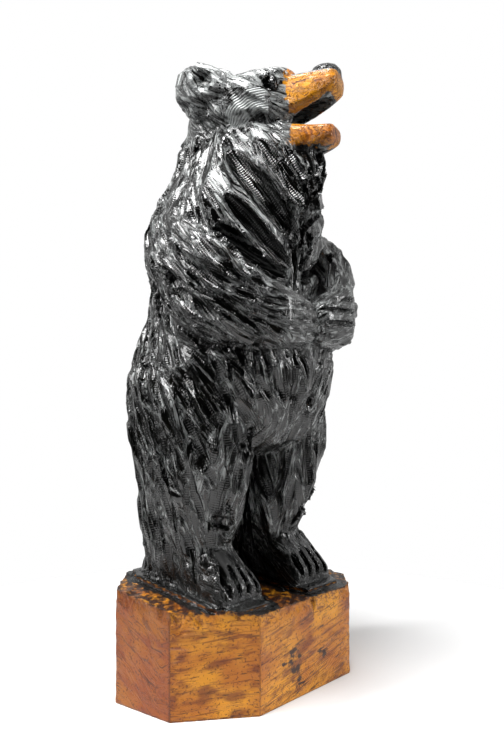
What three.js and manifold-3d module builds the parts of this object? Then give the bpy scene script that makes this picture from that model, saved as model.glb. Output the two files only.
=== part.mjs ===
// A standing bear carved with a chainsaw from one upright log. It looks up with its mouth open and holds both
// paws on its belly. The squared foot of the same log is left uncut below its feet as a base.
// Millimetres, +Z up, the bear faces -Y and its left side is +X. The origin is the middle of the underside.
import * as THREE from "three";
import { mergeVertices } from "three/addons/utils/BufferGeometryUtils.js";
import Module from "manifold-3d";

const wasm = await Module();
wasm.setup();

// The bear from its soles to the tip of its ear. Its pose, proportions and carving are shares of this: they are
// written as they are on a bear of the drawn height, with heights counted from its soles.
const BEAR_HEIGHT = 749;
const DRAWN_HEIGHT = 749;

// The base: the foot of the log, with its sides sawn flat and its corners cut off.
const BASE_WIDTH = 342;
const BASE_DEPTH = 231;
const BASE_FRONT_HEIGHT = 133;
const BASE_BACK_HEIGHT = 162;
const FRONT_RIGHT_CORNER = [92, 76];
const FRONT_LEFT_CORNER = [38, 36];
const BACK_LEFT_CORNER = [66, 52];
const BACK_RIGHT_CORNER = [64, 50];
// The middle of the base lies a little to the bear's right of the log's heart, and behind it.
const BASE_RIGHT_SHIFT = 4;
const BASE_BACK_SHIFT = 3.5;
// The low step that is left round each foot.
const STEP_HEIGHT = 5;
// A drying crack down the front of the base, from its top edge.
const CRACK_LENGTH = 68;
const CRACK_WIDTH = 5;
const CRACK_DEPTH = 9;
const CRACK_LEFT_OF_MIDDLE = 40;

// How far the head turns to the bear's left, in degrees, and how much higher the left arm is held.
const HEAD_TURN = 18;
const LEFT_ARM_RAISE = 20;

const share = BEAR_HEIGHT / DRAWN_HEIGHT;
const slope = (BASE_BACK_HEIGHT - BASE_FRONT_HEIGHT) / BASE_DEPTH;
const baseFront = BASE_BACK_SHIFT - BASE_DEPTH / 2;
const topOfBase = (y) => BASE_FRONT_HEIGHT + slope * (y - baseFront);
const soles = topOfBase(-BASE_BACK_SHIFT);

const RIGHT = -1;
const LEFT = 1;
const SIDES = [RIGHT, LEFT];
const at = (x, y, z) => new THREE.Vector3(x, y, z);
const X = at(1, 0, 0);
const Y = at(0, 1, 0);
const Z = at(0, 0, 1);

// A closed geometry as a solid, with the vertices that its seams repeat merged.
function solid(geometry) {
  const bare = geometry.clone();
  bare.deleteAttribute("normal");
  bare.deleteAttribute("uv");
  const merged = mergeVertices(bare, 1e-4);
  return new wasm.Manifold(
    new wasm.Mesh({
      numProp: 3,
      vertProperties: new Float32Array(merged.attributes.position.array),
      triVerts: new Uint32Array(merged.index.array),
    }),
  );
}

const union = (...solids) => solids.reduce((a, b) => a.add(b));

// A piece of the bear at its real size, standing on the base.
const onBase = (piece) => piece.scale([share, share, share]).translate([0, 0, soles]);

const signedPower = (value, power) => Math.sign(value) * Math.abs(value) ** power;

// A rounded body through cross sections. It starts as a sphere, and each of its rows of vertices becomes one
// ring: across and up are the ring's two directions, and a square above 2 makes it boxier.
function loft(sections, sides, rings, frameAt) {
  const centres = new THREE.CatmullRomCurve3(sections.map((s) => s.centre));
  const halves = new THREE.CatmullRomCurve3(
    sections.map((s) => at(s.half[0], s.half[1], s.square ?? 2)),
  );
  const geometry = new THREE.SphereGeometry(1, sides, rings + 1);
  const position = geometry.attributes.position;
  const place = at(0, 0, 0);
  for (let row = 0; row <= rings + 1; row++) {
    const along = Math.min(Math.max((row - 1) / (rings - 1), 0), 1);
    const centre = centres.getPoint(along);
    const half = halves.getPoint(along);
    const pole = row === 0 || row === rings + 1;
    const { across, up } = frameAt(centres.getTangent(along));
    for (let column = 0; column <= sides; column++) {
      const angle = (2 * Math.PI * (column % sides)) / sides;
      const bend = 2 / half.z;
      place.copy(centre);
      if (!pole) {
        place.addScaledVector(across, half.x * signedPower(Math.cos(angle), bend));
        place.addScaledVector(up, half.y * signedPower(Math.sin(angle), bend));
      }
      position.setXYZ(row * (sides + 1) + column, place.x, place.y, place.z);
    }
  }
  const made = solid(geometry);
  if (made.volume() > 0) return made;
  const order = geometry.index.array;
  for (let i = 0; i < order.length; i += 3)
    [order[i + 1], order[i + 2]] = [order[i + 2], order[i + 1]];
  return solid(geometry);
}

// Level rings, one above the other: rows of [height, x, y, half width, half depth, squareness].
const column = (rows, sides, rings) =>
  loft(
    rows.map(([z, x, y, a, b, square]) => ({ centre: at(x, y, z), half: [a, b], square })),
    sides,
    rings,
    () => ({ across: X, up: Y }),
  );

// Upright rings along a path: rows of [x, y, height, half thickness, half height, squareness].
const limb = (rows, sides, rings) =>
  loft(
    rows.map(([x, y, z, a, b, square]) => ({ centre: at(x, y, z), half: [a, b], square })),
    sides,
    rings,
    (tangent) => ({
      across: at(tangent.x, tangent.y, 0).normalize().cross(Z),
      up: Z,
    }),
  );

// An egg with the given half sizes, turned about the upright.
function egg(centre, half, turn) {
  const geometry = new THREE.SphereGeometry(1, 10, 6);
  geometry.rotateX(Math.PI / 2);
  geometry.scale(...half);
  return solid(geometry).rotate([0, 0, turn]).translate(centre);
}

// A block on the ground whose sloping top lies the given lift above the top of the base.
function slab(corners, lift) {
  const block = new THREE.ExtrudeGeometry(
    new THREE.Shape(corners.map(([x, y]) => new THREE.Vector2(x, y))),
    { depth: BASE_FRONT_HEIGHT, bevelEnabled: false },
  );
  const p = block.attributes.position;
  for (let i = 0; i < p.count; i++) if (p.getZ(i) > 0) p.setZ(i, topOfBase(p.getY(i)) + lift);
  return solid(block);
}

// The base with the steps that the feet stand on.
function base() {
  const right = -BASE_RIGHT_SHIFT - BASE_WIDTH / 2;
  const left = right + BASE_WIDTH;
  const back = baseFront + BASE_DEPTH;
  const corners = [
    [right + FRONT_RIGHT_CORNER[0], baseFront],
    [left - FRONT_LEFT_CORNER[0], baseFront],
    [left, baseFront + FRONT_LEFT_CORNER[1]],
    [left, back - BACK_LEFT_CORNER[1]],
    [left - BACK_LEFT_CORNER[0], back],
    [right + BACK_RIGHT_CORNER[0], back],
    [right, back - BACK_RIGHT_CORNER[1]],
    [right, baseFront + FRONT_RIGHT_CORNER[1]],
  ];
  const steps = SIDES.map((side) => {
    const around = [
      [side * 76 - 32, -97],
      [side * 80 + 36, -97],
      [side * 80 + 50, -66],
      [side * 75 + 47, 84],
      [side * 74 + 34, 108],
      [side * 74 - 34, 108],
      [side * 75 - 47, 84],
      [side * 80 - 50, -66],
    ];
    return slab(around.map(([x, y]) => [x * share, y * share]), STEP_HEIGHT);
  });
  const clear = slab(corners, STEP_HEIGHT);
  const crack = notch(
    at(CRACK_LEFT_OF_MIDDLE - BASE_RIGHT_SHIFT, baseFront, BASE_FRONT_HEIGHT),
    at(0, -1, 0),
    at(0.03, 0, -1),
    [CRACK_WIDTH, 2 * CRACK_LENGTH, CRACK_DEPTH],
  );
  return union(slab(corners, 0), union(...steps).intersect(clear)).subtract(crack);
}

// Belly, chest and back.
const torso = () =>
  column(
    [
      [186, 4, 10, 60, 60],
      [206, 4, 8, 110, 98],
      [241, 2, 8, 140, 120, 2.2],
      [286, 0, 8, 153, 138, 2.3],
      [334, 0, 4, 149, 138, 2.3],
      [376, 0, 4, 137, 116, 2.2],
      [414, 0, 4, 130, 110, 2.2],
      [456, 0, 6, 136, 116, 2.2],
      [496, 0, 6, 142, 120, 2.2],
      [528, 0, -2, 132, 118, 2.2],
      [556, 2, -8, 120, 113, 2.2],
      [584, 3, -14, 105, 106, 2.2],
      [612, 4, -18, 89, 96, 2.2],
      [640, 6, -18, 73, 83],
      [660, 8, -12, 56, 64],
    ],
    22,
    17,
  );

// The thick mane down the back of the neck.
const nape = () =>
  column(
    [
      [480, 0, 34, 100, 80],
      [546, 0, 22, 104, 82, 2.3],
      [596, 0, 20, 90, 68, 2.3],
      [646, 0, 18, 72, 50, 2.3],
      [686, 0, 22, 62, 46, 2.2],
      [706, 0, 26, 44, 34],
    ],
    16,
    6,
  );

// The hair that hangs below the chin.
const throat = () =>
  column(
    [
      [496, 4, -30, 56, 84],
      [532, 8, -36, 70, 100],
      [564, 12, -40, 68, 97],
      [594, 16, -46, 60, 91],
      [618, 22, -46, 48, 80],
      [636, 24, -38, 34, 56],
    ],
    16,
    6,
  );

const leg = (side) =>
  column(
    [
      [6, side * 74, 28, 40, 66, 2.6],
      [56, side * 76, 30, 46, 68, 2.4],
      [103, side * 79, 20, 54, 84, 2.2],
      [146, side * 83, 11, 62, 94],
      [186, side * 87, 10, 68, 99],
      [226, side * 89, 12, 73, 101],
      [266, side * 89, 15, 76, 104],
      [301, side * 87, 22, 72, 95],
      [328, side * 84, 32, 52, 64],
    ],
    16,
    9,
  );

// The uncut wood between the legs.
const web = () =>
  column(
    [
      [-4, 0, 52, 50, 30],
      [106, 0, 52, 50, 34],
      [236, 0, 40, 60, 60],
    ],
    10,
    3,
  );

const foot = (side) =>
  limb(
    [
      [side * 72, 98, 8, 24, 26, 3],
      [side * 74, 84, 16, 36, 45, 3],
      [side * 76, 20, 34, 38, 58, 3],
      [side * 79, -22, 28, 42, 54, 3],
      [side * 80, -54, 12, 43, 37, 3],
      [side * 80, -80, -2, 40, 20, 3],
    ],
    12,
    8,
  );

// From the back of the shoulder down across the side to the paw on the belly. The left arm is held higher.
const arm = (side) => {
  const raise = side === LEFT ? LEFT_ARM_RAISE : 0;
  return limb(
    [
      [side * 106, 62, 488, 14, 34],
      [side * 114, 44, 476, 30, 56],
      [side * 121, 8, 460 + raise / 2, 42, 72 + raise / 2, 2.2],
      [side * 124, -32, 434 + raise, 44, 77, 2.6],
      [side * 120, -68, 413 + raise, 42, 74 + raise / 4, 2.8],
      [side * 106, -98, 396 + raise / 2, 37, 60 + raise / 2, 2.6],
      [side * 78, -118, 382, 33, 46, 2.6],
      [side * 42, -126, 375, 30, 38, 2.6],
      [side * 14, -127, 371, 27, 32, 2.4],
      [side * 6, -127, 369, 20, 25],
    ],
    14,
    11,
  );
};

// The head is drawn looking along -Y, level with the middle of the skull, and is then turned on the neck.
const SKULL_HEIGHT = 682;
const NECK_FORWARD = 20;
// The muzzle leans a little to one side, in degrees, about a line this far above the middle of the skull.
const MUZZLE_TILT = 7;
const MUZZLE_HEIGHT = 16;

const ear = (side) =>
  limb(
    [
      [side * 42, 76, 20, 18, 26],
      [side * 50, 68, 25, 27, 34],
      [side * 58, 48, 26, 28, 34],
      [side * 58, 28, 23, 25, 31],
      [side * 54, 6, 16, 20, 28],
      [side * 48, -12, 8, 12, 20],
    ],
    10,
    6,
  )
    .add(egg([side * 40, 56, 2], [30, 24, 32], 0))
    .subtract(egg([side * 84, 34, 28], [14, 15, 17], side * 20));

const eye = (side) => egg([side * 45, -55, 22], [7, 8, 8], 0);

const socket = (side) => egg([side * 56, -57, 22], [12, 15, 15], side * 25);

function head() {
  const skull = limb(
    [
      [0, 76, 12, 24, 20],
      [0, 62, 6, 50, 36, 2.4],
      [0, 35, 1, 68, 40, 2.8],
      [0, 0, 2, 75, 40, 3.2],
      [0, -30, 7, 68, 42, 3.2],
      [0, -54, 7, 51, 46, 3],
      [0, -68, 10, 38, 42, 2.8],
      [0, -75, 12, 28, 32],
    ],
    16,
    10,
  );
  const muzzle = limb(
    [
      [0, -40, 2, 38, 34, 3.6],
      [0, -75, 8, 34, 30, 3.6],
      [0, -105, 16, 31, 25, 3.6],
      [0, -127, 24, 28, 19, 3.4],
      [0, -136, 26, 25, 15, 3],
      [0, -139, 27, 17, 9, 2.6],
    ],
    12,
    7,
  )
    .translate([0, 0, -MUZZLE_HEIGHT])
    .rotate([0, MUZZLE_TILT, 0])
    .translate([0, 0, MUZZLE_HEIGHT]);
  const nose = limb(
    [
      [0, -98, 38, 9, 8],
      [0, -105, 40, 16, 13],
      [0, -118, 41, 18, 14],
      [0, -131, 39, 16, 14],
      [0, -139, 36, 9, 9],
    ],
    10,
    6,
  );
  const jaw = limb(
    [
      [0, -30, -34, 46, 14, 3],
      [0, -55, -41, 42, 20, 3.4],
      [0, -75, -50, 37, 20, 3.4],
      [0, -100, -51, 32, 18, 3.4],
      [0, -122, -48, 28, 14, 3.4],
      [0, -131, -46, 25, 12, 3.2],
      [0, -134, -45, 20, 8, 2.8],
    ],
    12,
    7,
  );
  const brows = SIDES.map((side) => egg([side * 28, -48, 41], [17, 22, 9], 0));
  // The hollow of the palate and the hollow between the lower teeth.
  const mouth = union(egg([0, -92, -6], [22, 46, 21], 0), egg([0, -92, -28], [19, 38, 8], 0));
  const sockets = SIDES.map(socket);
  return union(skull, muzzle, nose, jaw, ...brows)
    .subtract(union(mouth, ...sockets))
    .add(union(...SIDES.map(ear), ...SIDES.map(eye)))
    .rotate([0, 0, HEAD_TURN])
    .translate([0, -NECK_FORWARD, SKULL_HEIGHT]);
}

// A long hollow that the saw bar leaves: rows of [x, y, height, half width, depth] along its middle.
function scoop(rows, outward) {
  const out = at(...outward).normalize();
  return loft(
    rows.map(([x, y, z, a, b]) => ({ centre: at(x, y, z), half: [a, b] })),
    8,
    7,
    (tangent) => {
      const across = tangent.clone().cross(out).normalize();
      return { across, up: across.clone().cross(tangent).normalize() };
    },
  );
}

// The hollows beside the throat and above the forearm.
const chestScoops = (side) => [
  scoop(
    [
      [side * 70, -46, 650, 24, 14],
      [side * 82, -68, 610, 34, 23],
      [side * 82, -92, 564, 31, 24],
      [side * 52, -116, 522, 20, 19],
      [side * 12, -118, 480, 7, 6],
    ],
    [side, -1, 0],
  ),
  scoop(
    [
      [side * 108, -72, 536, 6, 4],
      [side * 97, -88, 514, 13, 11],
      [side * 74, -102, 486, 14, 13],
      [side * 42, -110, 458, 11, 9],
      [side * 14, -112, 440, 5, 4],
    ],
    [side, -1, 0],
  ),
  scoop(
    [
      [side * 122, -66, 496, 9, 10],
      [side * 108, -84, 478, 18, 24],
      [side * 70, -104, 448, 15, 22],
      [side * 30, -110, 427, 7, 8],
    ],
    [side, -1, 0],
  ),
];

// A straight cut with a sharp floor and pointed ends, of a width, a length and a depth. It lies along one
// direction on the skin at a place.
function notch(place, out, along, [width, length, depth]) {
  const geometry = new THREE.OctahedronGeometry(1);
  geometry.scale(width / 2, length / 2, depth);
  const up = out.clone().normalize();
  const across = along.clone().cross(up).normalize();
  const forward = up.clone().cross(across);
  geometry.applyMatrix4(new THREE.Matrix4().makeBasis(across, forward, up));
  return solid(geometry).translate(place.toArray());
}

// The hollow that the saw left round the front of the ankle, where the shin overhangs the foot.
const ankle = (side) =>
  notch(at(side * 98, -58, 99), at(side * 0.5, -1, 0.25), at(1, side * 0.5, 0), [28, 100, 17]);

// Toes: grooves that fan out over the front of the foot.
const TOE_WIDTH = 17.5;
const toes = (side) =>
  [-1.5, -0.5, 0.5, 1.5].map((step) =>
    notch(
      at(side * 79 + step * TOE_WIDTH, -62, 25),
      at(step * 0.05, -0.45, 1),
      at(step * 0.09, -1, -0.62),
      [12, 82, 18],
    ),
  );

// Fingers: level grooves round the end of each paw.
const FINGER_WIDTH = 18;
const fingers = (side) =>
  [0, 1, 2].map((step) =>
    notch(
      at(side * 48, -157, 373 + step * FINGER_WIDTH),
      at(side * 0.12, -1, 0),
      at(1, side * 0.12, 0),
      [11, 84, 11],
    ),
  );

// The slot that the saw left across the belly when it undercut the forearms.
function undercut(side) {
  const slot = new THREE.BoxGeometry(112, 34, 4);
  slot.rotateZ(side * 0.28);
  slot.translate(side * 62, -113, 323);
  return solid(slot);
}

// The bear before its coat is cut.
function figure() {
  const scoops = SIDES.flatMap(chestScoops);
  const body = union(torso(), nape(), throat(), web(), ...SIDES.map(leg)).subtract(
    union(...SIDES.map(undercut), ...SIDES.map(ankle), ...scoops),
  );
  const limbs = union(...SIDES.map(foot), ...SIDES.map(arm)).subtract(
    union(...SIDES.flatMap(toes), ...SIDES.flatMap(fingers)),
  );
  return union(body, head(), limbs);
}

// Locks of fur: the saw's short cuts in rows, one patch for each part of the coat. Heights are counted from the
// soles, from and to are degrees round the bear (0 in front, 90 at its side, 180 behind), and lean is how far
// the cuts turn toward the bear's front as they run down. A size is a width, a length and a depth.
const FUR = [
  { part: "thigh", low: 156, high: 300, rows: 2, from: 38, to: 150, cuts: 5, lean: 24, size: [22, 120, 8] },
  { part: "shin", low: 61, high: 150, rows: 1, from: 50, to: 150, cuts: 4, lean: 12, size: [20, 100, 8] },
  { part: "rump", low: 71, high: 300, rows: 2, from: 160, to: 200, cuts: 1, lean: 4, size: [24, 130, 9] },
  { part: "belly", low: 241, high: 306, rows: 1, from: 6, to: 40, cuts: 3, lean: 30, size: [17, 84, 8] },
  { part: "waist", low: 326, high: 401, rows: 1, from: 96, to: 178, cuts: 5, lean: 20, size: [20, 100, 8] },
  { part: "upper arm", low: 401, high: 511, rows: 2, from: 62, to: 122, cuts: 4, lean: 46, size: [19, 110, 8] },
  { part: "forearm", low: 361, high: 416, rows: 2, from: 34, to: 66, cuts: 1, lean: 68, size: [15, 80, 6] },
  { part: "back", low: 441, high: 616, rows: 2, from: 122, to: 180, cuts: 4, lean: 8, size: [22, 130, 9] },
  { part: "neck", low: 556, high: 636, rows: 1, from: 92, to: 124, cuts: 2, lean: 6, size: [16, 100, 7] },
  { part: "chest", low: 446, high: 616, rows: 4, from: 0, to: 20, cuts: 1, lean: 8, size: [19, 84, 8] },
];

// A repeatable spread between -1 and 1.
const spread = (seed) => 2 * THREE.MathUtils.euclideanModulo(Math.sin(seed * 12.9898) * 43758.5453, 1) - 1;

function furCuts(made) {
  const skin = new THREE.Mesh(toGeometry(made));
  const ray = new THREE.Raycaster();
  const outside = 400;
  let seed = 1;
  const cut = (height, degrees, patch) => {
    const angle = THREE.MathUtils.degToRad(degrees);
    const out = at(Math.sin(angle), -Math.cos(angle), 0);
    ray.set(at(0, 0, height).addScaledVector(out, outside), out.clone().negate());
    const hit = ray.intersectObject(skin)[0];
    const normal = hit.face.normal;
    const level = Z.clone().cross(normal).normalize();
    if (level.dot(Y) > 0) level.negate();
    const down = level.clone().cross(normal);
    if (down.z > 0) down.negate();
    const lean = THREE.MathUtils.degToRad(patch.lean + 7 * spread(seed++));
    const along = down.multiplyScalar(Math.cos(lean)).addScaledVector(level, Math.sin(lean));
    const [width, length, depth] = patch.size;
    return notch(hit.point, normal, along, [width, length * (1 + 0.15 * spread(seed++)), depth]);
  };
  const cuts = [];
  for (const patch of FUR)
    for (let row = 0; row < patch.rows; row++)
      for (let n = 0; n < patch.cuts; n++) {
        const height = patch.low + ((row + 0.5) * (patch.high - patch.low)) / patch.rows;
        const shift = row % 2 ? 0.75 : 0.25;
        const degrees = patch.from + ((n + shift) * (patch.to - patch.from)) / patch.cuts;
        for (const side of SIDES)
          cuts.push(cut(height + 8 * spread(seed++), side * (degrees + 2 * spread(seed++)), patch));
      }
  return union(...cuts);
}

function carving() {
  const uncut = figure();
  return union(base(), onBase(uncut.subtract(furCuts(uncut))));
}

function toGeometry(made) {
  const mesh = made.getMesh();
  return new THREE.BufferGeometry()
    .setAttribute("position", new THREE.BufferAttribute(mesh.vertProperties, 3))
    .setIndex(new THREE.BufferAttribute(mesh.triVerts, 1));
}

const paintedWood = new THREE.MeshStandardMaterial({
  color: 0x1d1b17,
  roughness: 0.35,
  metalness: 0,
});

const carved = carving();
const { min, max } = carved.boundingBox();
const centred = carved.translate([-(min[0] + max[0]) / 2, -(min[1] + max[1]) / 2, -min[2]]);
const bear = new THREE.Mesh(toGeometry(centred), paintedWood);
bear.name = "bear_on_log_base";
const whole = new THREE.Group();
whole.add(bear);

export default whole;
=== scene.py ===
# %% [markdown]
# # A bear carved with a chainsaw from one log
#
# The bear stands on the squared foot of its own log, looks up with its mouth open and holds both paws on
# its belly. This lesson takes the plain solid of the carving and gives it what the saw and the brush left:
# locks of fur cut by the nose of the bar, saw marks, black paint and honey stain under a clear coat.
#
# The solid comes with its true size. All lengths below are millimetres, until a mesh is written in metres.

import math

import bmesh
import bpy
import numpy as np
from mathutils.kdtree import KDTree
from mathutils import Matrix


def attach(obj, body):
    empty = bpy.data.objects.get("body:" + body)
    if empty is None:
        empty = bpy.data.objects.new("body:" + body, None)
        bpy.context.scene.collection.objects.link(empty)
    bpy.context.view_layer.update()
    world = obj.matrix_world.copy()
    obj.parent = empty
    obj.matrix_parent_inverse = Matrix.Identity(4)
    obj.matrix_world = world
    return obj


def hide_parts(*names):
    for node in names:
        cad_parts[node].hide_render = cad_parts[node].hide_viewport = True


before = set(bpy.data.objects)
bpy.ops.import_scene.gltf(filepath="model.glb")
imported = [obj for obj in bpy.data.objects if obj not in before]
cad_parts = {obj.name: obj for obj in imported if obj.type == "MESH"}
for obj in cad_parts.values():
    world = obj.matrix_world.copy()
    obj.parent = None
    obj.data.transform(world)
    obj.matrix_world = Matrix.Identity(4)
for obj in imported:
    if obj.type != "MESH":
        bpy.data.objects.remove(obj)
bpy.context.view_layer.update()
MM = 0.001
SOLID = "bear_on_log_base"

# %% [markdown]
# ## The camera
#
# The photograph looks at the carving from fifty degrees round to its right side, level, from a little below
# half its height. A level camera keeps the upright edges of the base upright, so its lens is not shifted.

# %% The camera
CAMERA_PLACE = (-0.9212, -0.797, 0.443)
CAMERA_TURN = -50
CAMERA_LENS = 39.67
SENSOR_HEIGHT = 36

camera_data = bpy.data.cameras.new("camera")
camera_data.lens = CAMERA_LENS
camera_data.sensor_fit = "VERTICAL"
camera_data.sensor_height = SENSOR_HEIGHT
camera = bpy.data.objects.new("camera", camera_data)
camera.location = CAMERA_PLACE
camera.rotation_euler = (math.radians(90), 0, math.radians(CAMERA_TURN))
bpy.context.scene.collection.objects.link(camera)
bpy.context.scene.camera = camera
print("the camera stands", round(math.hypot(*CAMERA_PLACE[:2]), 2), "m from the middle of the base")

# %% [markdown]
# ## The light
#
# Black gloss paint shows hardly any colour of its own: what the eye reads is the reflection of the lights, so
# each ridge needs something bright to mirror. Large panels above and at both sides draw long soft highlights,
# and the pale room round them keeps the hollows from going flat. Each panel is an area lamp that is pointed
# at the chest of the bear.

# %% Lamps and the pale room
CHEST = (0.0, 0.0, 0.5)


def panel(name, place, width, height, power):
    """An area lamp that faces the chest of the bear."""
    lamp = bpy.data.lights.new(name, "AREA")
    lamp.shape = "RECTANGLE"
    lamp.size = width
    lamp.size_y = height
    lamp.energy = power
    held = bpy.data.objects.new(name, lamp)
    held.location = place
    away = [p - c for p, c in zip(place, CHEST)]
    flat = math.hypot(away[0], away[1])
    held.rotation_euler = (math.atan2(flat, away[2]), 0, math.atan2(away[0], -away[1]))
    bpy.context.scene.collection.objects.link(held)


# A name, a place, a width and a height in metres, and a power in watts.
panel("panel overhead", (-0.45, -0.1, 1.9), 0.7, 0.5, 46)
panel("strip on the left", (-1.4, 0.8, 1.25), 0.22, 1.3, 24)
panel("strip on the right", (0.9, -1.5, 1.0), 0.22, 1.4, 20)

# The camera sees the room as white. What the paint mirrors is dimmer, as the flags round a studio table make
# it, and dimmest on the side where the photographer stands.
SEEN_BRIGHTNESS = 1.0
ROOM_BRIGHTNESS = 0.75
DARK_SIDE_BRIGHTNESS = 0.01
DARK_SIDE = (-0.766, -0.643, 0.0)
# How far round towards the dark side the room starts and ends to dim, as cosines.
DIM_START = -0.5
DIM_END = 0.3

room = bpy.data.worlds.new("pale room")
room.use_nodes = True
sky = room.node_tree
toward = sky.nodes.new("ShaderNodeTexCoord").outputs["Generated"]
facing = sky.nodes.new("ShaderNodeVectorMath")
facing.operation = "DOT_PRODUCT"
facing.inputs[1].default_value = DARK_SIDE
sky.links.new(toward, facing.inputs[0])
fall = sky.nodes.new("ShaderNodeMapRange")
fall.interpolation_type = "SMOOTHSTEP"
fall.inputs["From Min"].default_value = DIM_START
fall.inputs["From Max"].default_value = DIM_END
fall.inputs["To Min"].default_value = ROOM_BRIGHTNESS
fall.inputs["To Max"].default_value = DARK_SIDE_BRIGHTNESS
sky.links.new(facing.outputs["Value"], fall.inputs["Value"])
seen = sky.nodes.new("ShaderNodeMix")
sky.links.new(sky.nodes.new("ShaderNodeLightPath").outputs["Is Camera Ray"], seen.inputs["Factor"])
sky.links.new(fall.outputs["Result"], seen.inputs["A"])
seen.inputs["B"].default_value = SEEN_BRIGHTNESS
sky.nodes["Background"].inputs["Color"].default_value = (1, 1, 1, 1)
sky.links.new(seen.outputs["Result"], sky.nodes["Background"].inputs["Strength"])
bpy.context.scene.world = room
bpy.context.scene.view_settings.view_transform = "Standard"

# %% [markdown]
# ## Colours and nodes
#
# Colours are picked in the browser's way, as hex values, and turned to the linear light that a renderer
# counts in by one function. A second function adds any node with its settings and its links, which keeps a
# material readable from top to bottom.


# %% Two helpers for every material
def linear(hex_colour):
    """An sRGB hex colour as linear red, green, blue and alpha."""
    parts = [int(hex_colour[i : i + 2], 16) / 255 for i in (1, 3, 5)]
    return [c / 12.92 if c <= 0.04045 else ((c + 0.055) / 1.055) ** 2.4 for c in parts] + [1.0]


def add(tree, kind, settings=None, **inputs):
    """A node with its settings. An input is a number, a colour, an output, or a node for its first output."""
    made = tree.nodes.new(kind)
    for key, value in (settings or {}).items():
        setattr(made, key, value)
    for key, value in inputs.items():
        plug = made.inputs[int(key[1:])] if key[1:].isdigit() else made.inputs[key.replace("_", " ")]
        if isinstance(value, bpy.types.Node):
            value = value.outputs[0]
        if isinstance(value, bpy.types.NodeSocket):
            tree.links.new(value, plug)
        else:
            plug.default_value = value
    return made


# Settings that many nodes share.
TIMES = {"operation": "MULTIPLY"}
PLUS = {"operation": "ADD"}
COLOURS = {"data_type": "RGBA"}

# %% [markdown]
# ## The floor
#
# A round of white paper, lit so brightly that its edge melts into the white room.

# %% The floor
FLOOR_RADIUS = 0.75
PAPER_ROUGHNESS = 0.9

floor_shape = bmesh.new()
bmesh.ops.create_circle(floor_shape, cap_ends=True, segments=64, radius=FLOOR_RADIUS)
floor_mesh = bpy.data.meshes.new("floor")
floor_shape.to_mesh(floor_mesh)
floor_shape.free()
floor = bpy.data.objects.new("floor", floor_mesh)
bpy.context.scene.collection.objects.link(floor)
# Matt white paper: the eye gets only the soft shadow that grounds the carving.
paper = bpy.data.materials.new("white_studio_paper")
paper.use_nodes = True
paper_shader = paper.node_tree.nodes["Principled BSDF"]
paper_shader.inputs["Base Color"].default_value = linear("#eaeaea")
paper_shader.inputs["Roughness"].default_value = PAPER_ROUGHNESS
floor_mesh.materials.append(paper)
print("the floor is", round(2 * FLOOR_RADIUS, 2), "m across")

# %% [markdown]
# ## The log, roughed out
#
# The carver first blocks the figure out in big cuts, and that is what the solid gives. Its facets are wider
# than the saw's strokes, so they are eased before the strokes go in. A voxel remesh turns the solid into an
# even skin of small squares, which can be smoothed and cut anywhere. The base keeps its sawn edges: only the
# bear above it is eased.

# %% The sizes of the log, and two ways to look at a point
BASE_FRONT_HEIGHT = 133
BASE_BACK_HEIGHT = 162
BASE_FRONT_Y = -105.2
BASE_DEPTH = 231
BASE_SLOPE = (BASE_BACK_HEIGHT - BASE_FRONT_HEIGHT) / BASE_DEPTH
# The heart of the log, about which the bear is drawn.
HEART = np.array([3.7, 6.8, 0.0])
HEAD_TURN = math.radians(18)
NECK = HEART + [0, -20, 828]


def above_base(points):
    """How far each point lies above the sloping top of the base."""
    return points[:, 2] - BASE_FRONT_HEIGHT - BASE_SLOPE * (points[:, 1] - BASE_FRONT_Y)


def in_head(points):
    """Points as the head sees them: looking along -y, level with the middle of the skull."""
    x, y, z = (points - NECK).T
    c, s = math.cos(HEAD_TURN), math.sin(HEAD_TURN)
    return np.column_stack([x * c + y * s, -x * s + y * c, z])


print("the top of the base rises", round(math.degrees(math.atan(BASE_SLOPE)), 1), "degrees to the back")


# %% Reading and moving the vertices of a mesh
def points_of(mesh):
    """The vertices of a mesh as an array in millimetres."""
    flat = np.empty(len(mesh.vertices) * 3, np.float32)
    mesh.vertices.foreach_get("co", flat)
    return flat.reshape(-1, 3).astype(np.float64) / MM


def normals_of(mesh):
    """The vertex normals of a mesh as an array."""
    flat = np.empty(len(mesh.vertices) * 3, np.float32)
    mesh.vertex_normals.foreach_get("vector", flat)
    return flat.reshape(-1, 3).astype(np.float64)


def move_points(mesh, points):
    """Puts the vertices of a mesh at the given places."""
    mesh.vertices.foreach_set("co", (points * MM).astype(np.float32).ravel())
    mesh.update()


def settle(piece):
    """Turns what a piece's modifiers show into its own mesh."""
    evaluated = piece.evaluated_get(bpy.context.evaluated_depsgraph_get())
    shown = bpy.data.meshes.new_from_object(evaluated)
    piece.modifiers.clear()
    piece.vertex_groups.clear()
    piece.data = shown
    return shown


# %% A skin of small squares
MERGE_DISTANCE = 0.01
VOXEL = 2.0

shape = bmesh.new()
shape.from_mesh(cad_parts[SOLID].data)
bmesh.ops.remove_doubles(shape, verts=shape.verts, dist=MERGE_DISTANCE * MM)
mesh = bpy.data.meshes.new("carved_bear")
shape.to_mesh(mesh)
shape.free()
bear = bpy.data.objects.new("carved_bear", mesh)
bpy.context.scene.collection.objects.link(bear)

voxels = bear.modifiers.new("voxels", "REMESH")
voxels.mode = "VOXEL"
voxels.voxel_size = VOXEL * MM
mesh = settle(bear)
print("squares in the skin:", len(mesh.polygons))

# %% [markdown]
# ## Easing the facets
#
# A smooth modifier rounds the facets off. A vertex group tells it how much: nothing on the base, all of it on
# the bear, with four steps between, and a quarter of it on the face and the ears, which are carved crisper.

# %% Easing the bear, not the base
EASING = 0.5
EASING_ROUNDS = 12
CRISP_SHARE = 0.25
STEPS = 4
STEP_HEIGHT = 2
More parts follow.
